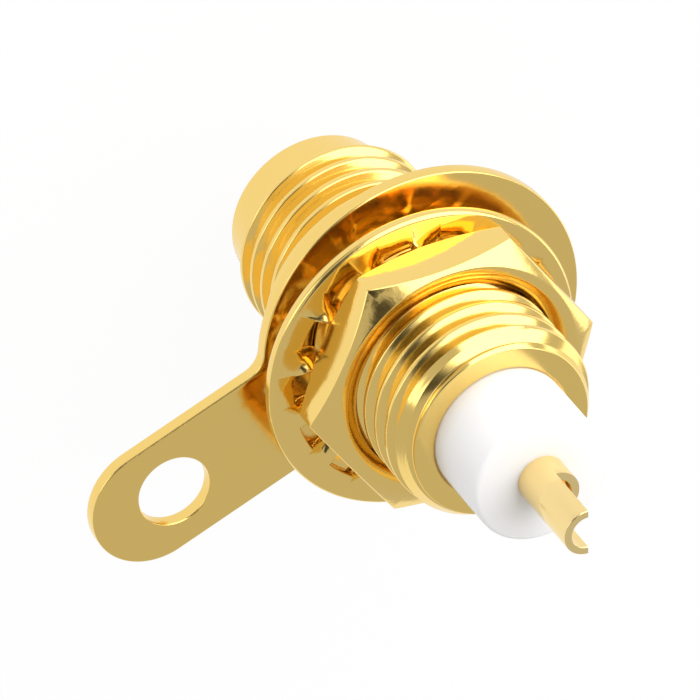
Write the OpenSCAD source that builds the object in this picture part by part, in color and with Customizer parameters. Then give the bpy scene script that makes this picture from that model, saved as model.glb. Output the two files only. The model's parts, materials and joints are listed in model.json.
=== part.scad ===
// Bulkhead SMA jack with a solder-cup contact.
// The threaded shell carries the dielectric and the centre contact. A solder lug,
// an internal-tooth lock washer and a thin hex nut hang on its rear thread.
// Frame: the origin is the centre of the nose face, +Z runs from the nose to the
// solder cup, and +X points along the tab of the lug.

/* [Threads] */
// Major diameter of the coupling thread and of the rear thread (1/4-36)
thread_d = 6.35; // [6.1:0.05:6.6]
// Axial length over which the coupling thread runs, behind the plain nose
front_thread_len = 3.0; // [2.5:0.1:3.2]
// Length of the relief groove between the coupling thread and the flange
relief_len = 0.55; // [0.3:0.05:0.8]

/* [Shell] */
// Diameter of the plain nose
nose_d = 5.3; // [5.1:0.05:5.5]
// Length of the plain nose
nose_len = 1.2; // [0.8:0.1:1.5]
// Length of the cone that leads from the nose up to the thread
nose_lead = 0.4; // [0.2:0.05:0.6]
// Diameter of the mating socket inside the nose
socket_d = 4.6; // [4.5:0.05:4.7]
// Depth of the mating socket, down to the face of the dielectric
socket_depth = 1.95; // [1.7:0.05:2.2]
// Diameter of the round flange
flange_d = 7.95; // [7.5:0.05:8.6]
// Thickness of the round flange
flange_t = 1.45; // [1:0.05:2]
// Length of the threaded barrel behind the flange
rear_len = 6.32; // [5.8:0.02:8]
// Length of the lead-in cone at the free end of the barrel
rear_lead = 0.6; // [0.3:0.05:0.8]
// Outer diameter of the annular end face
rear_face_d = 5.56; // [5.2:0.02:5.8]

/* [Dielectric] */
// Diameter of the dielectric rod and of the bore that grips it
dielectric_d = 4.2; // [4:0.05:4.3]
// Length of dielectric that stands out of the barrel
dielectric_out = 2.6; // [1:0.1:4]
// Clearance around the spring fingers of the contact
finger_gap = 0.06; // [0.02:0.01:0.15]

/* [Contact] */
// Outer diameter of the solder cup
cup_d = 1.49; // [1.4:0.01:1.6]
// Bore of the solder cup
cup_bore_d = 1.0; // [0.9:0.02:1.1]
// Length of cup past the dielectric
cup_out = 2.98; // [2:0.02:4]
// Length of the cup that stays a closed tube
cup_closed = 0.93; // [0.6:0.01:1.2]
// Direction in which the open half of the cup looks
cup_turn = 156.7; // [0:0.1:360]
// Outer diameter of the spring fingers
finger_d = 1.27; // [1.24:0.01:1.34]
// Bore between the fingers, for a 0.9 mm mating pin
pin_bore_d = 0.94; // [0.92:0.01:1]
// Depth of the pin bore
pin_bore_len = 2.8; // [2.4:0.1:3.4]
// Width of the slits between the fingers
slit_w = 0.12; // [0.08:0.01:0.16]

/* [Solder lug] */
// Thickness of the lug sheet
lug_t = 0.45; // [0.3:0.05:0.6]
// Width of the ring around the lug's hole
lug_ring_w = 1.57; // [1.2:0.01:2]
// Distance from the connector's axis to the middle of the eye
eye_reach = 8.48; // [8.2:0.02:11]
// Diameter of the eye in the tab
eye_d = 2.27; // [1.6:0.01:2.6]
// Width of the tab
tab_w = 3.93; // [3.6:0.01:4.6]
// Length of sheet from the middle of the eye to the end of the tab
tab_past_eye = 2.69; // [2.3:0.01:3.2]
// Fillet between the ring and the tab
tab_fillet_r = 0.8; // [0.3:0.1:1.2]
// How far the loose ring hangs off centre, away from its tab
lug_shift = 0.3; // [0:0.05:0.5]
// Least clearance between the lug's hole and the thread
lug_gap = 0.075; // [0.03:0.005:0.2]

/* [Lock washer] */
// Number of inner teeth
tooth_count = 14; // [8:1:14]
// Thickness of the washer's ring
washer_t = 0.4; // [0.3:0.05:0.5]
// Width of the washer's ring
washer_ring_w = 0.9; // [0.7:0.05:1.3]
// Radial length of a tooth
tooth_len = 0.48; // [0.3:0.02:0.8]
// Width of a tooth where it leaves the ring
tooth_root_w = 1.15; // [0.8:0.05:1.2]
// Width of a tooth at its tip
tooth_tip_w = 0.8; // [0.5:0.05:0.9]
// Angle by which the tip of a tooth is twisted out of the ring's plane
tooth_twist = 30; // [10:1:40]
// How far the loose washer sits off centre
washer_shift = 0.35; // [0:0.05:0.5]
// Direction of that offset
washer_shift_turn = 9; // [0:1:360]
// Least clearance between the tooth tips and the thread
washer_gap = 0.045; // [0.03:0.005:0.2]
// Height of the lowest tooth edge over the lug
washer_float = 0.7; // [0.68:0.01:1]

/* [Nut] */
// Least wall between the nut's bore and its flats, which are 8 mm apart
nut_wall = 0.79; // [0.6:0.01:1]
// Thickness of the nut
nut_t = 1.6; // [1.4:0.05:2]
// Radial running clearance on the thread
nut_gap = 0.035; // [0.02:0.005:0.08]
// Radial width of the countersinks
nut_sink = 0.39; // [0.1:0.01:0.42]
// How far inside the flats the corner chamfer starts
nut_rim = 0.15; // [0:0.01:0.16]
// Angle of one corner about the axis
nut_turn = 42.1; // [0:0.1:60]
// Axial play between the lock washer and the nut
nut_play = 0.02; // [0.01:0.005:0.05]

/* [Hidden] */
$fn = 96;

gold = [0.88, 0.70, 0.32];
pale_gold = [0.93, 0.79, 0.45];
white = [0.95, 0.95, 0.94];
over = 0.1;        // how far a cutting shape runs past what it cuts
edge = 0.1;        // small chamfers on the shell
sheet_edge = 0.1;  // rounding of the washer's edges
dielectric_edge = 0.12;

thread_r = thread_d / 2;
relief_r = thread_r - 0.43;

// Stations along the axis
thread_z0 = nose_len + nose_lead;
relief_z = thread_z0 + front_thread_len;
flange_z0 = relief_z + relief_len;
flange_z1 = flange_z0 + flange_t;
barrel_z = flange_z1 + rear_len;
dielectric_z = barrel_z + dielectric_out;
cup_z = dielectric_z + cup_out;
closed_z = dielectric_z + cup_closed;

dielectric_r = dielectric_d / 2;
cup_r = cup_d / 2;
cup_bore_r = cup_bore_d / 2;
finger_r = finger_d / 2;
finger_len = pin_bore_len - 0.6;
step_z = socket_depth + pin_bore_len + 1;   // where the contact widens
cup_floor_z = dielectric_z + 0.1;

// The lug lies against the flange
lug_z = flange_z1;
lug_hole_r = thread_r + lug_shift + lug_gap;
lug_ring_r = lug_hole_r + lug_ring_w;
tab_half = tab_w / 2;
tab_end_x = eye_reach + tab_past_eye - tab_half;

// The washer floats over the lug, and its teeth carry the nut
tip_r = thread_r + washer_shift + washer_gap;
washer_inner_r = tip_r + tooth_len;
washer_outer_r = washer_inner_r + washer_ring_w;
tooth_rise = tooth_tip_w / 2 * sin(tooth_twist) + washer_t / 2 * cos(tooth_twist);
washer_z = lug_z + lug_t + washer_float + tooth_rise;   // middle of the ring
nut_z = washer_z + tooth_rise + nut_play;
nut_bore_r = thread_r + nut_gap;
nut_flat_r = nut_bore_r + nut_wall;

// The shell: nose, coupling thread, relief, flange and rear barrel, turned in one
// piece. The threads are plain cylinders at the major diameter.
module connector_body() {
    color(gold) rotate_extrude() difference() {
        polygon([
            [0, 0], [nose_d / 2 - edge, 0], [nose_d / 2, edge], [nose_d / 2, nose_len],
            [thread_r, thread_z0], [thread_r, relief_z - 0.2], [relief_r, relief_z],
            [relief_r, flange_z0], [flange_d / 2 - edge, flange_z0],
            [flange_d / 2, flange_z0 + edge], [flange_d / 2, flange_z1 - edge],
            [flange_d / 2 - edge, flange_z1], [thread_r, flange_z1],
            [thread_r, barrel_z - rear_lead], [rear_face_d / 2, barrel_z], [0, barrel_z]]);
        polygon([
            [-over, -over], [socket_d / 2, -over],
            [socket_d / 2, socket_depth], [dielectric_r, socket_depth],
            [dielectric_r, barrel_z - edge], [dielectric_r + edge, barrel_z],
            [dielectric_r + edge, barrel_z + over], [-over, barrel_z + over]]);
    }
}

// The dielectric: one rod with a stepped hole for the contact
module dielectric() {
    color(white) rotate_extrude() polygon([
        [finger_r + finger_gap, socket_depth], [dielectric_r, socket_depth],
        [dielectric_r, dielectric_z - dielectric_edge],
        [dielectric_r - dielectric_edge, dielectric_z], [cup_r, dielectric_z],
        [cup_r, step_z], [finger_r, step_z],
        [finger_r, socket_depth + finger_len], [finger_r + finger_gap, socket_depth + finger_len]]);
}

// The centre contact: spring fingers in front, an open solder cup behind
module centre_contact() {
    color(pale_gold) difference() {
        rotate_extrude() polygon([
            [0, socket_depth], [finger_r, socket_depth], [finger_r, step_z],
            [cup_r, step_z], [cup_r, cup_z], [0, cup_z]]);
        translate([0, 0, socket_depth - over]) cylinder(r = pin_bore_d / 2, h = pin_bore_len + over);
        for (turn = [0, 90]) rotate([0, 0, turn])
            translate([-cup_d, -slit_w / 2, socket_depth - over])
                cube([2 * cup_d, slit_w, finger_len + over]);
        translate([0, 0, cup_floor_z]) cylinder(r = cup_bore_r, h = cup_z);
        rotate([0, 0, cup_turn]) translate([0, -cup_d, closed_z]) cube([cup_d, 2 * cup_d, cup_z]);
    }
}

// One fillet between the ring and the side of the tab, as a flat shape
module tab_fillet() {
    centre_y = tab_half + tab_fillet_r;
    reach = lug_ring_r + tab_fillet_r;
    centre_x = sqrt(reach * reach - centre_y * centre_y) - lug_shift;
    touch = lug_ring_r / reach;
    difference() {
        polygon([
            [centre_x, tab_half], [centre_x, centre_y],
            [(centre_x + lug_shift) * touch - lug_shift, centre_y * touch],
            [0, 0], [centre_x, 0]]);
        translate([centre_x, centre_y]) circle(r = tab_fillet_r);
    }
}

// The solder lug: a flat ring with a tab and an eye
module solder_lug() {
    color(gold) translate([0, 0, lug_z]) linear_extrude(lug_t) difference() {
        union() {
            translate([-lug_shift, 0]) circle(r = lug_ring_r);
            translate([0, -tab_half]) square([tab_end_x, tab_w]);
            translate([tab_end_x, 0]) circle(r = tab_half);
            tab_fillet();
            mirror([0, 1]) tab_fillet();
        }
        translate([-lug_shift, 0]) circle(r = lug_hole_r);
        translate([eye_reach, 0]) circle(d = eye_d);
    }
}

// A tooth is swept inwards from the ring: at each station its section is a flat
// rectangle that narrows and turns about the radial line.
tooth_steps = 5;
tooth_root_x = washer_inner_r + 0.2;

function mix(a, b, t) = a + (b - a) * t;

function tooth_section(t) =
    let (x = mix(tooth_root_x, tip_r, t), half = mix(tooth_root_w, tooth_tip_w, t) / 2,
         low = washer_t / 2, turn = tooth_twist * t * t * (3 - 2 * t))
    [for (c = [[-half, -low], [half, -low], [half, low], [-half, low]])
        [x, c[0] * cos(turn) - c[1] * sin(turn), c[0] * sin(turn) + c[1] * cos(turn)]];

module tooth() {
    points = [for (i = [0:tooth_steps]) each tooth_section(i / tooth_steps)];
    last = 4 * tooth_steps;
    sides = [for (i = [0:tooth_steps - 1], j = [0:3])
        let (a = 4 * i + j, b = 4 * i + (j + 1) % 4)
        each [[a, b, b + 4], [a, b + 4, a + 4]]];
    polyhedron(points, concat([[0, 2, 1], [0, 3, 2]], sides,
        [[last, last + 1, last + 2], [last, last + 2, last + 3]]));
}

// Half section of the ring, with rounded edges
module ring_section() {
    flat = washer_ring_w - 2 * sheet_edge;
    translate([washer_inner_r + sheet_edge, -washer_t / 2]) square([flat, washer_t]);
    translate([washer_inner_r, sheet_edge - washer_t / 2])
        square([washer_ring_w, washer_t - 2 * sheet_edge]);
    for (x = [washer_inner_r + sheet_edge, washer_outer_r - sheet_edge], side = [-1, 1])
        translate([x, side * (washer_t / 2 - sheet_edge)]) circle(r = sheet_edge, $fn = 24);
}

// The internal-tooth lock washer
module lock_washer() {
    color(gold)
    translate([washer_shift * cos(washer_shift_turn), washer_shift * sin(washer_shift_turn), washer_z])
        union() {
            rotate_extrude() ring_section();
            for (i = [0:tooth_count - 1])
                rotate([0, 0, (i + 0.5) * 360 / tooth_count]) tooth();
        }
}

// The nut: a hexagon with both rims chamfered and both mouths countersunk
module hex_nut() {
    corner_r = nut_flat_r / cos(30);
    face_r = nut_flat_r - nut_rim;
    cone_r = corner_r + over;
    chamfer = (cone_r - face_r) * tan(30);
    color(gold) translate([0, 0, nut_z]) difference() {
        intersection() {
            rotate([0, 0, nut_turn]) cylinder(r = corner_r, h = nut_t, $fn = 6);
            rotate_extrude() polygon([
                [0, 0], [face_r, 0], [cone_r, chamfer],
                [cone_r, nut_t - chamfer], [face_r, nut_t], [0, nut_t]]);
        }
        rotate_extrude() polygon([
            [0, -over], [nut_bore_r + nut_sink + over, -over], [nut_bore_r, nut_sink],
            [nut_bore_r, nut_t - nut_sink], [nut_bore_r + nut_sink + over, nut_t + over],
            [0, nut_t + over]]);
    }
}

connector_body();
dielectric();
centre_contact();
solder_lug();
lock_washer();
hex_nut();
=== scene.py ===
# %% [markdown]
# # A gold-plated bulkhead jack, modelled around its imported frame
#
# The frame brings in the solids of the part, each one standing where it belongs, and
# everything below is built on top of them. The solids have the right sizes but plain
# cylinders where the threads are, so most pieces are modelled again here with their
# threads, rounded edges and twisted teeth, and each new piece stands for its own solid.

# %% Load the frame
import bpy
import json
from math import sin, cos, tan, radians, degrees, pi, hypot, atan2
from mathutils import Vector, Matrix


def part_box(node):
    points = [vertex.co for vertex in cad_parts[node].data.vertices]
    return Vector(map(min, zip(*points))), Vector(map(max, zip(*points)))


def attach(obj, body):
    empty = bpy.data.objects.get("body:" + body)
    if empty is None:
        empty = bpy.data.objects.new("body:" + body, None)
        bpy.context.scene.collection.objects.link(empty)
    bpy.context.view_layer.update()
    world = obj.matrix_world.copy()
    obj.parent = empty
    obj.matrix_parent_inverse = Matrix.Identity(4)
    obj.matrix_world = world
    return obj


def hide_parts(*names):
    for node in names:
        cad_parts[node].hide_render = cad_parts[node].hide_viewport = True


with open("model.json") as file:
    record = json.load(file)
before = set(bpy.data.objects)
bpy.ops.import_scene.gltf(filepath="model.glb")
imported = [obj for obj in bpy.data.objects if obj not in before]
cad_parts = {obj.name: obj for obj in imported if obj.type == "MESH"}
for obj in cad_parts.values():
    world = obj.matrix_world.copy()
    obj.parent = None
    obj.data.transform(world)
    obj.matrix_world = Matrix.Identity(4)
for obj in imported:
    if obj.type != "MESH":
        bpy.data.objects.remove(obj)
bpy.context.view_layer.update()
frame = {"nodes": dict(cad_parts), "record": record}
mounts = {m["name"]: m for m in frame["record"]["mounts"]}
print("nodes:", sorted(frame["nodes"]))

# %% [markdown]
# ## Working in millimetres
#
# The whole part is under two centimetres long. Blender's merge and bisect tools have
# limits meant for furniture, so every piece is modelled with one unit to the
# millimetre and shrunk to metres as its last step, with the scale applied to the mesh.
# Sizes that the frame knows, such as the thread radius, are read from it.

# %% Units and shared sizes
MM = 0.001
MERGE = 0.0005           # closer than this, two vertices are one
TURN_STEPS = 144         # facets round a full turn


def size_of(node):
    low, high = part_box(node)
    return [v / MM for v in low], [v / MM for v in high]


def mount_r(name):
    return mounts[name]["dims"]["r_mm"]


thread_r = mount_r("coupling_thread")
socket_r = mount_r("mating_socket")
socket_depth = mounts["mating_socket"]["dims"]["length_mm"]
shell_low, shell_high = size_of("connector_body")
barrel_z = shell_high[2]
flange_r = shell_high[0]
rod_low, rod_high = size_of("dielectric")
dielectric_r = rod_high[0]
print("thread radius", thread_r, "barrel ends at", round(barrel_z, 2), "mm")

# %% [markdown]
# ## Small helpers
#
# The operators act on whatever is selected, so each helper starts from a clean
# selection. `outline` draws a chain of edges by pulling one vertex along a list of
# corners, which is how a profile is drawn by hand before it is spun on a lathe.

# %% Selection helpers
def alone(obj):
    """Only obj is selected and active, in object mode."""
    if bpy.context.object and bpy.context.object.mode != "OBJECT":
        bpy.ops.object.mode_set(mode="OBJECT")
    bpy.ops.object.select_all(action="DESELECT")
    obj.select_set(True)
    bpy.context.view_layer.objects.active = obj


def edit(obj, kind="VERT"):
    alone(obj)
    bpy.ops.object.mode_set(mode="EDIT")
    bpy.ops.mesh.select_mode(type=kind)
    bpy.ops.mesh.select_all(action="SELECT")


def done(obj):
    bpy.ops.object.mode_set(mode="OBJECT")
    return obj


def tidy_mesh(obj):
    """Merges doubles and turns every face outwards."""
    edit(obj)
    bpy.ops.mesh.remove_doubles(threshold=MERGE)
    bpy.ops.mesh.normals_make_consistent(inside=False)
    return done(obj)


# %% Drawing an outline
def rounded(corners, steps=5):
    """Corners as (x, z, radius): each one with a radius becomes a short arc."""
    points = []
    for i, (x, z, *radius) in enumerate(corners):
        here = Vector((x, z))
        if not radius:
            points.append(here)
            continue
        before = Vector(corners[i - 1][:2]) - here
        after = Vector(corners[(i + 1) % len(corners)][:2]) - here
        half = before.angle(after) / 2
        reach = radius[0] / tan(half)
        inward = (before.normalized() + after.normalized()).normalized()
        middle = here + inward * radius[0] / sin(half)
        start = here + before.normalized() * reach - middle
        end = here + after.normalized() * reach - middle
        sweep = start.angle_signed(end)
        for s in range(steps + 1):
            turn = Matrix.Rotation(-sweep * s / steps, 2)
            points.append(middle + turn @ start)
    return points


def outline(name, points, closed=False):
    """A chain of edges in the XZ plane, pulled out vertex by vertex."""
    bpy.ops.object.select_all(action="DESELECT")
    x, z = points[0]
    bpy.ops.mesh.primitive_plane_add(size=1, location=(x, 0, z))
    obj = bpy.context.object
    obj.name = name
    bpy.ops.object.transform_apply(location=True, rotation=True, scale=True)
    edit(obj)
    bpy.ops.mesh.merge(type="CENTER")
    for a, b in zip(points, points[1:]):
        step = (b[0] - a[0], 0, b[1] - a[1])
        bpy.ops.mesh.extrude_region_move(TRANSFORM_OT_translate={"value": step})
    if closed:
        step = (points[0][0] - points[-1][0], 0, points[0][1] - points[-1][1])
        bpy.ops.mesh.extrude_region_move(TRANSFORM_OT_translate={"value": step})
        bpy.ops.mesh.select_all(action="SELECT")
        bpy.ops.mesh.remove_doubles(threshold=MERGE / 5)
    return done(obj)


# %% The lathe
def lathe(name, points, closed=False, steps=TURN_STEPS, turn=360):
    """Spins an outline round the Z axis."""
    obj = outline(name, points, closed)
    edit(obj)
    bpy.ops.mesh.spin(steps=steps, angle=radians(turn), center=(0, 0, 0), axis=(0, 0, 1))
    bpy.ops.mesh.select_all(action="SELECT")
    bpy.ops.mesh.remove_doubles(threshold=MERGE / 5)
    bpy.ops.mesh.normals_make_consistent(inside=False)
    return done(obj)


# %% Booleans, bevels and the last step
def combine(obj, other, how):
    """Applies a boolean to obj and throws the other object away."""
    alone(obj)
    tool = obj.modifiers.new(how.lower(), "BOOLEAN")
    tool.operation = how
    tool.solver = "EXACT"
    tool.object = other
    bpy.ops.object.modifier_apply(modifier=tool.name)
    bpy.data.objects.remove(other)
    return obj


def soften(obj, width, angle=30, segments=2):
    """Rounds every edge sharper than the angle."""
    alone(obj)
    bevel = obj.modifiers.new("soften", "BEVEL")
    bevel.width = width
    bevel.segments = segments
    bevel.limit_method = "ANGLE"
    bevel.angle_limit = radians(angle)
    bpy.ops.object.modifier_apply(modifier=bevel.name)
    return obj


def finish_piece(obj, node, body, smooth=30):
    """Shrinks a piece to metres, shades it and ties it to the frame."""
    alone(obj)
    bpy.ops.object.transform_apply(location=True, rotation=True, scale=True)
    obj.scale = (MM, MM, MM)
    bpy.ops.object.transform_apply(location=True, rotation=True, scale=True)
    bpy.ops.object.shade_smooth_by_angle(angle=radians(smooth))
    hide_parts(node)
    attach(obj, body)
    print(obj.name, len(obj.data.polygons), "faces,",
          [round(v / MM, 2) for v in obj.dimensions], "mm")
    return obj


# %% [markdown]
# ## Threads
#
# A thread is one small profile, a single pitch long, carried round the axis while it
# climbs. Blender's Screw modifier does just that: the end of one turn meets the start
# of the next, so after a merge the surface is whole. Cutting both ends off square with
# bisect, and filling the cuts, leaves a closed threaded rod that booleans can use.
# The crests and roots are small arcs, because plating rounds them and each one then
# catches its own thin highlight.

# %% The threaded rod
pitch = 25.4 / 36
thread_depth = 0.4
crest_flat, crest_arc = 0.17, 0.075      # width of the crest and radius of its edges
root_flat, root_arc = 0.16, 0.06


def threaded_rod(name, low, high, first_crest):
    """A rod with a right-hand thread between two heights."""
    root_r = thread_r - thread_depth
    a, b = root_flat / 2, (pitch - crest_flat) / 2
    profile = rounded([(root_r, 0), (root_r, a, root_arc), (thread_r, b, crest_arc),
                       (thread_r, pitch - b, crest_arc), (root_r, pitch - a, root_arc),
                       (root_r, pitch)], steps=4)
    turns = int((high - low) / pitch) + 3
    first_root = first_crest - pitch / 2
    start = first_root - pitch * int((first_root - low) / pitch + 2)
    rod = outline(name, [(p[0], p[1] + start) for p in profile])
    screw = rod.modifiers.new("climb", "SCREW")
    screw.axis = "Z"
    screw.angle = radians(360)
    screw.screw_offset = pitch
    screw.iterations = turns + 1
    screw.steps = screw.render_steps = TURN_STEPS
    screw.use_smooth_shade = True
    bpy.ops.object.modifier_apply(modifier=screw.name)
    tidy_mesh(rod)
    for height, side in ((low, False), (high, True)):
        edit(rod)
        bpy.ops.mesh.bisect(plane_co=(0, 0, height), plane_no=(0, 0, 1), use_fill=True,
                            clear_inner=not side, clear_outer=side, threshold=1e-5)
        done(rod)
    return tidy_mesh(rod)


# %% [markdown]
# ## The shell
#
# The real shell is one bar of brass, turned from end to end. Here a plain core is
# spun first, the two threaded rods are trimmed by cones, as a lathe chamfers the ends of
# a thread, and all three are fused. The stepped bore is taken out last, with a tool
# that is itself a lathed shape.

# %% Stations along the shell
nose_r, nose_z = 2.65, 1.2
front_z = 1.6
relief_z = 4.6
relief_r = thread_r - 0.43
flange_z0, flange_z1 = 5.15, 6.6
end_r = 2.78
lead = 0.6
front_crest, rear_crest = 1.88, 11.84    # height of one crest, seen along +X
nose_edge, flange_edge, end_edge = 0.07, 0.09, 0.05
hair = 0.0005            # keeps two faces from lying in one plane
print("flange", round(flange_z1 - flange_z0, 2), "mm thick, barrel",
      round(barrel_z - flange_z1, 2), "mm long")

# %% The core
tuck = 0.1               # how far the core reaches under the threads' ends
front_core_r = relief_r - 0.06
rear_core_r = thread_r - 0.6
core = lathe("shell", rounded([
    (0, 0), (nose_r, 0, nose_edge), (nose_r, nose_z + tuck / 2), (front_core_r, nose_z + tuck),
    (front_core_r, relief_z - tuck), (relief_r, relief_z - tuck / 2), (relief_r, flange_z0),
    (flange_r, flange_z0, flange_edge), (flange_r, flange_z1, flange_edge),
    (rear_core_r, flange_z1), (rear_core_r, barrel_z - tuck), (0, barrel_z - tuck)]))
print("core:", len(core.data.polygons), "faces")

# %% The two threads, trimmed by cones
proud = 0.3              # how far a trimming cone runs past the crests
below = 0.5              # and how far it starts below the thread
run_out = 0.2            # length of the cone at the thread's inner end
over_relief = 0.03
front = threaded_rod("front_thread", nose_z + 0.02, relief_z, front_crest)
slope = (thread_r - nose_r) / (front_z - nose_z)
front_trim = lathe("front_trim", [
    (0, nose_z - below), (nose_r - below * slope, nose_z - below),
    (thread_r + proud, front_z + proud / slope), (thread_r + proud, relief_z - run_out - proud),
    (relief_r, relief_z + over_relief), (0, relief_z + over_relief)])
combine(front, front_trim, "INTERSECT")

rear = threaded_rod("rear_thread", flange_z1 - tuck, barrel_z, rear_crest)
slope = (thread_r - end_r) / lead
rear_trim = lathe("rear_trim", rounded([
    (0, flange_z1 - 1), (thread_r + proud, flange_z1 - 1),
    (thread_r + proud, barrel_z - lead - proud / slope),
    (end_r, barrel_z - hair, end_edge), (0, barrel_z - hair)]))
combine(rear, rear_trim, "INTERSECT")

# %% Fuse them and take out the bore
combine(core, front, "UNION")
combine(core, rear, "UNION")
front_mouth, rear_mouth = 0.06, 0.08     # chamfers where the bore opens
bore = lathe("bore", rounded([
    (0, -1), (socket_r + front_mouth + 1, -1), (socket_r + front_mouth, 0), (socket_r, front_mouth),
    (socket_r, socket_depth), (dielectric_r, socket_depth), (dielectric_r, barrel_z - rear_mouth),
    (dielectric_r + rear_mouth, barrel_z), (dielectric_r + rear_mouth + 1, barrel_z + 1),
    (0, barrel_z + 1)]))
shell = combine(core, bore, "DIFFERENCE")
tidy_mesh(shell)
finish_piece(shell, "connector_body", "connector")

# %% [markdown]
# ## The dielectric
#
# A white fluoropolymer rod, parted off on a lathe: its visible end is flat with a
# soft corner, and it has a stepped hole that grips the contact.

# %% Dielectric
finger_r, cup_r = 0.635, 0.745
step_z = 5.75                            # where the contact widens
finger_top_z = socket_depth + 2.2        # where the fingers' slits end
loose_r = finger_r + 0.06                # room for the fingers to spring
tight_r = finger_r + 0.005
front_edge, rear_edge = 0.03, 0.13
rod = lathe("dielectric_rod", rounded([
    (loose_r, rod_low[2]), (dielectric_r, rod_low[2], front_edge),
    (dielectric_r, rod_high[2], rear_edge), (cup_r, rod_high[2]), (cup_r, step_z),
    (tight_r, step_z), (tight_r, finger_top_z), (loose_r, finger_top_z)]), closed=True)
finish_piece(rod, "dielectric", "connector")

# %% [markdown]
# ## The centre contact
#
# One turned pin. Its front is bored and slit into four spring fingers, and the back is
# bored for a wire, with half of the wall milled away so that solder can reach it. The
# milling and the slits are boxes taken out of the lathed shape.

# %% Contact
contact_low, contact_high = size_of("centre_contact")
cup_z = contact_high[2]
closed_z = 16.45                         # below this the cup is a whole tube
cup_turn = 156.7                         # direction in which the open half looks
cup_bore_r = mount_r("solder_cup")
pin_bore_r = mount_r("contact_socket")
pin_bore_z = contact_low[2] + mounts["contact_socket"]["dims"]["length_mm"]
cup_floor_z = 15.62
drill_tip, cup_tip = 0.25, 0.2           # the cones that drills leave
lip = 0.035                              # rounding of the cup's rim
contact = lathe("contact", rounded([
    (0, pin_bore_z), (pin_bore_r, pin_bore_z - drill_tip), (pin_bore_r, contact_low[2], 0.04),
    (finger_r, contact_low[2], 0.06), (finger_r, step_z), (cup_r, step_z),
    (cup_r, cup_z, lip), (cup_bore_r, cup_z, lip), (cup_bore_r, cup_floor_z + cup_tip),
    (0, cup_floor_z)]), steps=96)


# %% Slits and milling

def box_tool(name, low, high, turn):
    """A box between two corners, turned about the Z axis."""
    bpy.ops.object.select_all(action="DESELECT")
    middle = [(a + b) / 2 for a, b in zip(low, high)]
    bpy.ops.mesh.primitive_cube_add(size=1, location=middle)
    obj = bpy.context.object
    obj.name = name
    obj.scale = [b - a for a, b in zip(low, high)]
    bpy.ops.object.transform_apply(location=True, rotation=True, scale=True)
    obj.rotation_euler[2] = radians(turn)
    bpy.ops.object.transform_apply(location=True, rotation=True, scale=True)
    return obj


slit = 0.06                              # half of a slit's width
for turn in (0, 90):
    cutter = box_tool("slit", (-2, -slit, 1), (2, slit, finger_top_z), turn)
    combine(contact, cutter, "DIFFERENCE")
combine(contact, box_tool("mill", (0, -2, closed_z), (2, 2, cup_z + 1), cup_turn), "DIFFERENCE")
tidy_mesh(contact)
soften(contact, 0.025, 50)
finish_piece(contact, "centre_contact", "connector", smooth=40)

# %% [markdown]
# ## The solder lug
#
# A lug is stamped from sheet. A flat curve with holes is the closest thing Blender has
# to a stamping: one closed outline, one hole for the barrel and one for the wire.
# Extruding the curve gives the sheet its thickness, and the curve's bevel rolls the
# cut edges over.

# %% Lug outline
lug_low, lug_high = size_of("solder_lug")
lug_t = lug_high[2] - lug_low[2]
tab_half = 1.965
ring_x = -0.3                            # the ring hangs off centre, away from its tab
ring_r = ring_x - lug_low[0]
lug_hole_r = ring_r - 1.57
fillet_r = 0.8
eye_x = mounts["lug_eye"]["pos_m"][0] / MM
eye_r = mount_r("lug_eye")
tab_end_x = lug_high[0] - tab_half


def arc(x, y, r, start, end, steps):
    """Points along an arc, in degrees, without its last point."""
    return [(x + r * cos(radians(start + (end - start) * i / steps)),
             y + r * sin(radians(start + (end - start) * i / steps))) for i in range(steps)]


fillet_y = tab_half + fillet_r
fillet_x = ring_x + ((ring_r + fillet_r) ** 2 - fillet_y ** 2) ** 0.5
meet = degrees(atan2(fillet_y, fillet_x - ring_x))
lug_outline = (arc(ring_x, 0, ring_r, meet, 360 - meet, 120)
               + arc(fillet_x, -fillet_y, fillet_r, 180 - meet, 90, 10)
               + arc(tab_end_x, 0, tab_half, -90, 90, 60)
               + arc(fillet_x, fillet_y, fillet_r, 270, 180 + meet, 10))
print("lug outline:", len(lug_outline), "points, hole radius", round(lug_hole_r, 3), "mm")

# %% Lug
def flat_sheet(name, loops, thickness, bevel):
    """A sheet cut from closed loops, centred on z = 0, with its edges rolled over."""
    curve = bpy.data.curves.new(name, "CURVE")
    curve.dimensions = "2D"
    curve.fill_mode = "BOTH"
    for loop in loops:
        spline = curve.splines.new("POLY")
        spline.points.add(len(loop) - 1)
        for point, (x, y) in zip(spline.points, loop):
            point.co = (x, y, 0, 1)
        spline.use_cyclic_u = True
    curve.extrude = thickness / 2 - bevel
    curve.bevel_depth = bevel
    curve.bevel_resolution = 3
    curve.offset = -bevel
    obj = bpy.data.objects.new(name, curve)
    bpy.context.scene.collection.objects.link(obj)
    alone(obj)
    bpy.ops.object.convert(target="MESH")
    return bpy.context.object


roll = 0.05                              # radius of the cut edges
lug = flat_sheet("lug", [lug_outline, arc(ring_x, 0, lug_hole_r, 360, 0, 96),
                         arc(eye_x, 0, eye_r, 360, 0, 72)], lug_t, roll)
lug.location.z = (lug_low[2] + lug_high[2]) / 2
tidy_mesh(lug)
finish_piece(lug, "solder_lug", "lug")

# %% [markdown]
# ## The internal-tooth lock washer
#
# The ring and its inner teeth are one stamping, and each tooth is twisted about the
# line that points to the centre. One sector is modelled: a slice of ring, whose inner
# faces are extruded inwards and narrowed step by step. Each section is then turned, most
# near the root and less towards the tip, and the sector is copied round and merged.

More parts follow.
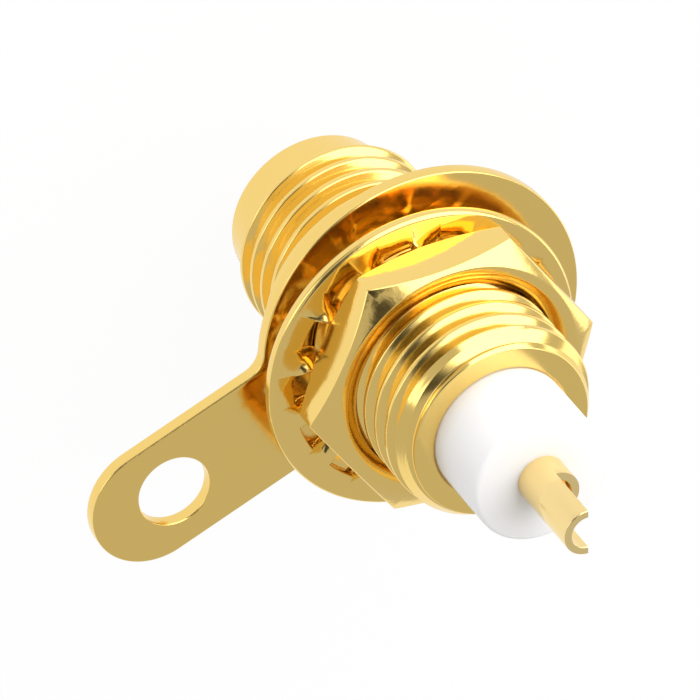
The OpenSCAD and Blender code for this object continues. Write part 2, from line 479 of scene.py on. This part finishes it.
# %% Washer sizes
washer_low, washer_high = size_of("lock_washer")
washer_outer_r = (washer_high[0] - washer_low[0]) / 2
washer_x = (washer_high[0] + washer_low[0]) / 2
washer_y = (washer_high[1] + washer_low[1]) / 2
washer_z = (washer_high[2] + washer_low[2]) / 2
washer_t = 0.4
ring_w = 0.8
washer_inner_r = washer_outer_r - ring_w
tooth_len = 0.58
tooth_count = 14
tooth_twist = 36
tooth_root_w, tooth_tip_w = 0.95, 0.7
sector = 360 / tooth_count

# %% One sector of the washer
steps_in_tooth, steps_in_gap = 12, 6
stations = 6                      # sections along a tooth
root_turn = degrees(tooth_root_w / washer_inner_r)
edge_r = 0.14
half_t = washer_t / 2


def ring_slice(name, steps, start, turn):
    """A slice of the ring, open at both ends, with its outer edges rounded."""
    section = rounded([(washer_inner_r, -half_t), (washer_outer_r, -half_t, edge_r),
                       (washer_outer_r, half_t, edge_r), (washer_inner_r, half_t)], steps=4)
    obj = lathe(name, section, closed=True, steps=steps, turn=turn)
    obj.rotation_euler[2] = radians(start + turn)      # the spin runs clockwise
    bpy.ops.object.transform_apply(location=True, rotation=True, scale=True)
    return obj


tooth_part = ring_slice("washer", steps_in_tooth, -root_turn / 2, root_turn)
edit(tooth_part, "FACE")
bpy.ops.mesh.select_all(action="DESELECT")
done(tooth_part)
for face in tooth_part.data.polygons:
    inner = hypot(face.center.x, face.center.y) < washer_inner_r + 0.01
    face.select = inner and abs(face.normal.z) < 0.2
bpy.ops.object.mode_set(mode="EDIT")
for i in range(1, stations + 1):
    x = washer_inner_r - tooth_len * i / stations
    widths = [tooth_root_w + (tooth_tip_w - tooth_root_w) * k / stations for k in (i - 1, i)]
    inwards = (-tooth_len / stations, 0, 0)
    bpy.ops.mesh.extrude_region_move(TRANSFORM_OT_translate={"value": inwards})
    bpy.ops.transform.resize(value=(0, widths[1] / widths[0], 1), center_override=(x, 0, 0))
done(tooth_part)
print("tooth drawn flat:", len(tooth_part.data.polygons), "faces")

# %% Twist the tooth, section by section
for i in range(1, stations + 1):
    x = washer_inner_r - tooth_len * i / stations
    part = i / stations
    ease = sin(part * pi / 2)
    edit(tooth_part, "VERT")
    bpy.ops.mesh.select_all(action="DESELECT")
    done(tooth_part)
    for vertex in tooth_part.data.vertices:
        vertex.select = abs(vertex.co.x - x) < 0.001 and abs(vertex.co.y) < tooth_root_w / 2 + 0.01
    bpy.ops.object.mode_set(mode="EDIT")
    bpy.ops.transform.rotate(value=-radians(tooth_twist) * ease, orient_axis="X",
                             orient_type="GLOBAL", center_override=(x, 0, 0))
    done(tooth_part)
heights = [vertex.co.z for vertex in tooth_part.data.vertices]
print("a tooth reaches from", round(min(heights), 3), "to", round(max(heights), 3), "mm")

# %% Copy the sector round and close the ring
def pattern(obj, count, step):
    """Copies of obj turned about the Z axis, each with its own mesh, joined to it."""
    copies = []
    for i in range(1, count):
        copy = obj.copy()
        copy.data = obj.data.copy()
        bpy.context.scene.collection.objects.link(copy)
        copy.rotation_euler[2] = radians(step * i)
        copies.append(copy)
    alone(obj)
    for copy in copies:
        copy.select_set(True)
    bpy.ops.object.transform_apply(location=True, rotation=True, scale=True)
    bpy.ops.object.join()
    return obj


gap_part = ring_slice("gap", steps_in_gap, root_turn / 2, sector - root_turn)
alone(tooth_part)
gap_part.select_set(True)
bpy.ops.object.transform_apply(location=True, rotation=True, scale=True)
bpy.ops.object.join()
washer = pattern(tooth_part, tooth_count, sector)
washer.rotation_euler[2] = radians(sector / 2)
washer.location = (washer_x, washer_y, washer_z)
tidy_mesh(washer)
soften(washer, 0.05, 45, segments=3)
finish_piece(washer, "lock_washer", "washer", smooth=40)

# %% [markdown]
# ## The hex nut
#
# The nut starts as a six-sided cylinder. A lathed double cone trims its corners, which
# leaves the curved edges that every chamfered nut has, and a second lathed tool takes
# out the bore and its two countersinks. A fine bevel then softens what is left.

# %% Nut
nut_low, nut_high = size_of("hex_nut")
nut_wall, nut_gap = 0.79, 0.035          # wall at the flats, clearance on the thread
nut_bore_r = thread_r + nut_gap
flat_r = nut_bore_r + nut_wall
corner_r = flat_r / cos(radians(30))
nut_sink = 0.39                          # radial width of a countersink
sink_slope = tan(radians(24))
nut_rim = 0.15                           # how far inside the flats the chamfer starts
nut_corner_turn = 42.1
nut_t = nut_high[2] - nut_low[2]

# %% Hexagon with its corners trimmed
bpy.ops.object.select_all(action="DESELECT")
bpy.ops.mesh.primitive_cylinder_add(vertices=6, radius=corner_r, depth=nut_t,
                                    location=(0, 0, (nut_low[2] + nut_high[2]) / 2))
nut = bpy.context.object
nut.name = "nut"
nut.rotation_euler[2] = radians(nut_corner_turn - 90)
bpy.ops.object.transform_apply(location=True, rotation=True, scale=True)
cone_r = corner_r + 0.1
chamfer = (cone_r - flat_r + nut_rim) * tan(radians(30))
low, high = nut_low[2] + 0.0003, nut_high[2] - 0.0003
nut_trim = lathe("nut_trim", [(0, low), (flat_r - nut_rim, low), (cone_r, low + chamfer),
                              (cone_r, high - chamfer), (flat_r - nut_rim, high), (0, high)])
combine(nut, nut_trim, "INTERSECT")
print("corner radius", round(corner_r, 2), "mm, chamfer", round(chamfer, 2), "mm")

# %% Bore and countersinks
sink_r = nut_bore_r + nut_sink
sink_depth = nut_sink * sink_slope
nut_bore = lathe("nut_bore", [
    (0, low - sink_slope), (sink_r + 1, low - sink_slope), (nut_bore_r, low + sink_depth),
    (nut_bore_r, high - sink_depth), (sink_r + 1, high + sink_slope), (0, high + sink_slope)])
combine(nut, nut_bore, "DIFFERENCE")
tidy_mesh(nut)
soften(nut, 0.045, 20, segments=3)
finish_piece(nut, "hex_nut", "nut", smooth=35)

# %% [markdown]
# ## Gold
#
# Plated gold is a metal shader: all its colour is in its reflections. A noise in the
# roughness and a faint bump keep the mirror from looking computed. On the turned shell
# the bump is stretched across the axis, so it runs round the part as a lathe tool's
# marks do, and that draws each reflection out along the threads.

# %% Gold materials
def new_material(name):
    mat = bpy.data.materials.new(name)
    mat.use_nodes = True
    nodes, links = mat.node_tree.nodes, mat.node_tree.links
    return mat, nodes, links, nodes["Principled BSDF"]


patch_size = 2.5         # millimetres between duller and brighter patches
bump_depth = 0.00002


def gold(name, colour, roughness, bump, bump_size, turned=1.0):
    """A plated finish: bump_size is in millimetres, turned stretches the marks round Z."""
    mat, nodes, links, shader = new_material(name)
    shader.inputs["Base Color"].default_value = (*colour, 1)
    shader.inputs["Metallic"].default_value = 1.0
    where = nodes.new("ShaderNodeTexCoord")
    patches = nodes.new("ShaderNodeTexNoise")
    patches.inputs["Scale"].default_value = 1 / (patch_size * MM)
    patches.inputs["Detail"].default_value = 3
    spread = nodes.new("ShaderNodeMapRange")
    spread.inputs["From Min"].default_value = 0.3
    spread.inputs["From Max"].default_value = 0.7
    spread.inputs["To Min"].default_value = roughness * 0.75
    spread.inputs["To Max"].default_value = roughness * 1.25
    links.new(where.outputs["Object"], patches.inputs["Vector"])
    links.new(patches.outputs["Fac"], spread.inputs["Value"])
    links.new(spread.outputs["Result"], shader.inputs["Roughness"])
    stretch = nodes.new("ShaderNodeMapping")
    stretch.inputs["Scale"].default_value = (1 / turned, 1 / turned, 1)
    grain = nodes.new("ShaderNodeTexNoise")
    grain.inputs["Scale"].default_value = 1 / (bump_size * MM)
    grain.inputs["Detail"].default_value = 2
    relief = nodes.new("ShaderNodeBump")
    relief.inputs["Strength"].default_value = bump
    relief.inputs["Distance"].default_value = bump_depth
    links.new(where.outputs["Object"], stretch.inputs["Vector"])
    links.new(stretch.outputs["Vector"], grain.inputs["Vector"])
    links.new(grain.outputs["Fac"], relief.inputs["Height"])
    links.new(relief.outputs["Normal"], shader.inputs["Normal"])
    return mat


shell_gold = gold("shell_gold", (0.94, 0.67, 0.205), 0.15, 0.3, 0.12, turned=12)
nut_gold = gold("nut_gold", (0.94, 0.67, 0.21), 0.15, 0.25, 0.3)
lug_gold = gold("lug_gold", (0.93, 0.66, 0.20), 0.17, 0.3, 0.5)
contact_gold = gold("contact_gold", (0.94, 0.72, 0.32), 0.2, 0.2, 0.3)

print("gold finishes:", shell_gold.name, nut_gold.name, lug_gold.name, contact_gold.name)

# %% [markdown]
# ## White plastic
#
# The fluoropolymer is milky: some light goes in and comes out again close by, so its
# edges stay soft. A little subsurface scattering does that, and a very fine bump breaks
# up its dull gloss.

# %% White plastic
def white(name):
    mat, nodes, links, shader = new_material(name)
    shader.inputs["Base Color"].default_value = (0.90, 0.89, 0.89, 1)
    shader.inputs["Roughness"].default_value = 0.45
    shader.inputs["Subsurface Weight"].default_value = 0.3
    shader.inputs["Subsurface Radius"].default_value = (1.0, 0.9, 0.8)
    shader.inputs["Subsurface Scale"].default_value = 0.0008
    where = nodes.new("ShaderNodeTexCoord")
    grain = nodes.new("ShaderNodeTexNoise")
    grain.inputs["Scale"].default_value = 2500
    relief = nodes.new("ShaderNodeBump")
    relief.inputs["Strength"].default_value = 0.1
    relief.inputs["Distance"].default_value = bump_depth
    links.new(where.outputs["Object"], grain.inputs["Vector"])
    links.new(grain.outputs["Fac"], relief.inputs["Height"])
    links.new(relief.outputs["Normal"], shader.inputs["Normal"])
    return mat


# %% Paint the pieces
def paint(obj, mat):
    """The material is the only one that obj has."""
    obj.data.materials.clear()
    obj.data.materials.append(mat)


paint(shell, shell_gold)
paint(rod, white("fluoropolymer"))
paint(contact, contact_gold)
paint(lug, lug_gold)
paint(washer, nut_gold)
paint(nut, nut_gold)

# %% [markdown]
# ## Floor and world
#
# The floor is a plain white sheet. To the camera and in the metal it glows with nearly
# its own white, so the background is white without more light on the part, and the small
# share that is left keeps the shadow. The world is an even white a little below that.

# %% Floor
bpy.ops.object.select_all(action="DESELECT")
bpy.ops.mesh.primitive_plane_add(size=3, location=(0, 0, 0))
floor = bpy.context.object
floor.name = "floor"

floor_mat, nodes, links, shader = new_material("floor_white")
shader.inputs["Base Color"].default_value = (0.9, 0.9, 0.9, 1)
shader.inputs["Roughness"].default_value = 0.6
path = nodes.new("ShaderNodeLightPath")
glow = nodes.new("ShaderNodeEmission")
seen = nodes.new("ShaderNodeMath")
seen.operation = "MAXIMUM"
share = nodes.new("ShaderNodeMath")
share.operation = "MULTIPLY"
share.inputs[1].default_value = 0.95       # the rest keeps the shadow
mix = nodes.new("ShaderNodeMixShader")
links.new(path.outputs["Is Camera Ray"], seen.inputs[0])
links.new(path.outputs["Is Glossy Ray"], seen.inputs[1])
links.new(seen.outputs[0], share.inputs[0])
links.new(share.outputs[0], mix.inputs[0])
links.new(shader.outputs[0], mix.inputs[1])
links.new(glow.outputs[0], mix.inputs[2])
links.new(mix.outputs[0], nodes["Material Output"].inputs["Surface"])
paint(floor, floor_mat)

# %% World
world = bpy.data.worlds.new("studio")
bpy.context.scene.world = world
world.use_nodes = True
sky = world.node_tree.nodes["Background"]
sky.inputs["Color"].default_value = (1, 1, 1, 1)
sky.inputs["Strength"].default_value = 0.6

# %% [markdown]
# ## Camera
#
# The part is looked at from the solder side, from a good way off with a long lens, so
# its circles stay nearly true ellipses. The camera is given as a point to aim at,
# a turn and a rise about it, and a roll.

# %% Camera
aim = Vector((1.37, 3.16, 2.59)) * MM
camera_turn, camera_rise, camera_roll = 8.19, 48.67, 139.7
camera_reach = 0.250
lens, sensor = 428.7, 36

cam_data = bpy.data.cameras.new("camera")
cam_data.lens, cam_data.sensor_width = lens, sensor
cam_data.clip_start, cam_data.clip_end = 0.01, 10
cam = bpy.data.objects.new("camera", cam_data)
bpy.context.scene.collection.objects.link(cam)
turn, rise, roll_angle = radians(camera_turn), radians(camera_rise), radians(camera_roll)
back = Vector((sin(turn) * cos(rise), -cos(turn) * cos(rise), sin(rise)))
right0 = Vector((cos(turn), sin(turn), 0))
up0 = back.cross(right0)
right = right0 * cos(roll_angle) + up0 * sin(roll_angle)
up = back.cross(right)
cam.matrix_world = Matrix.Translation(aim + back * camera_reach) @ Matrix((
    (right.x, up.x, back.x, 0), (right.y, up.y, back.y, 0), (right.z, up.z, back.z, 0), (0, 0, 0, 1)))
bpy.context.scene.camera = cam
print("camera", round(camera_reach / MM), "mm away, lens", lens, "mm")

# %% [markdown]
# ## Light for polished metal
#
# A mirror shows the room, so lighting gold means choosing what stands in each direction.
# Large softboxes beside the camera give the pale broad bands, and black cards round the
# lens give the dark ones between them. The cards are there for the reflections only:
# the camera doesn't see them and they throw no shadow.

# %% Softboxes and cards
def stand(obj, side, tilt, reach):
    """Turns obj to the object, tilt degrees off the camera's line and side degrees round it."""
    a, b = radians(tilt), radians(side)
    way = back * cos(a) + (right * cos(b) + up * sin(b)) * sin(a)
    high = (back - way * way.dot(back)).normalized()
    wide = high.cross(way)
    obj.matrix_world = Matrix.Translation(aim + way * reach) @ Matrix((
        (wide.x, high.x, way.x, 0), (wide.y, high.y, way.y, 0),
        (wide.z, high.z, way.z, 0), (0, 0, 0, 1)))


def softbox(name, side, tilt, reach, width, height, strength):
    """An area light whose brightness on a mirror is about its strength."""
    light = bpy.data.lights.new(name, "AREA")
    light.shape = "RECTANGLE"
    light.size, light.size_y = width, height
    light.energy = 4 * width * height * strength
    obj = bpy.data.objects.new(name, light)
    bpy.context.scene.collection.objects.link(obj)
    stand(obj, side, tilt, reach)
    return obj


def dark_card(name, side, tilt, reach, width, height):
    """A black card, which only the metal sees."""
    bpy.ops.object.select_all(action="DESELECT")
    bpy.ops.mesh.primitive_plane_add(size=1)
    obj = bpy.context.object
    obj.name = name
    obj.scale = (width, height, 1)
    bpy.ops.object.transform_apply(location=False, rotation=False, scale=True)
    stand(obj, side, tilt, reach)
    obj.visible_camera = False
    obj.visible_diffuse = False
    obj.visible_shadow = False
    paint(obj, card_black)
    return obj


card_black, nodes, links, shader = new_material("card_black")
shader.inputs["Base Color"].default_value = (0.02, 0.018, 0.015, 1)
shader.inputs["Roughness"].default_value = 0.9

# %% Set the lamps and the cards
softbox("key", 28, 46, 0.25, 0.38, 0.30, 1.7)
softbox("rim", 15, 108, 0.30, 0.30, 0.16, 1.0)
softbox("fill", 175, 50, 0.25, 0.14, 0.12, 1.1)
dark_card("card_lens", 215, 3, 0.27, 0.13, 0.12)
dark_card("card_low", -60, 34, 0.24, 0.06, 0.14)

# %% A dark strip of floor, for the lines on the edges
strip_tilt, strip_side = radians(66), radians(138)
across = right * cos(strip_side) + up * sin(strip_side)
away = back * cos(strip_tilt) + across * sin(strip_tilt)
away.z = 0
away.normalize()
bpy.ops.object.select_all(action="DESELECT")
bpy.ops.mesh.primitive_plane_add(size=1, location=(0, 0, 0))
strip = bpy.context.object
strip.name = "dark_strip"
strip.scale = (0.26, 0.035, 1)
bpy.ops.object.transform_apply(location=False, rotation=False, scale=True)
strip.location = away * 0.16 + Vector((0, 0, 0.0002))
strip.rotation_euler[2] = atan2(away.y, away.x)
strip.visible_camera = False
strip.visible_diffuse = False
strip.visible_shadow = False
paint(strip, card_black)

bpy.context.scene.view_settings.view_transform = "Standard"
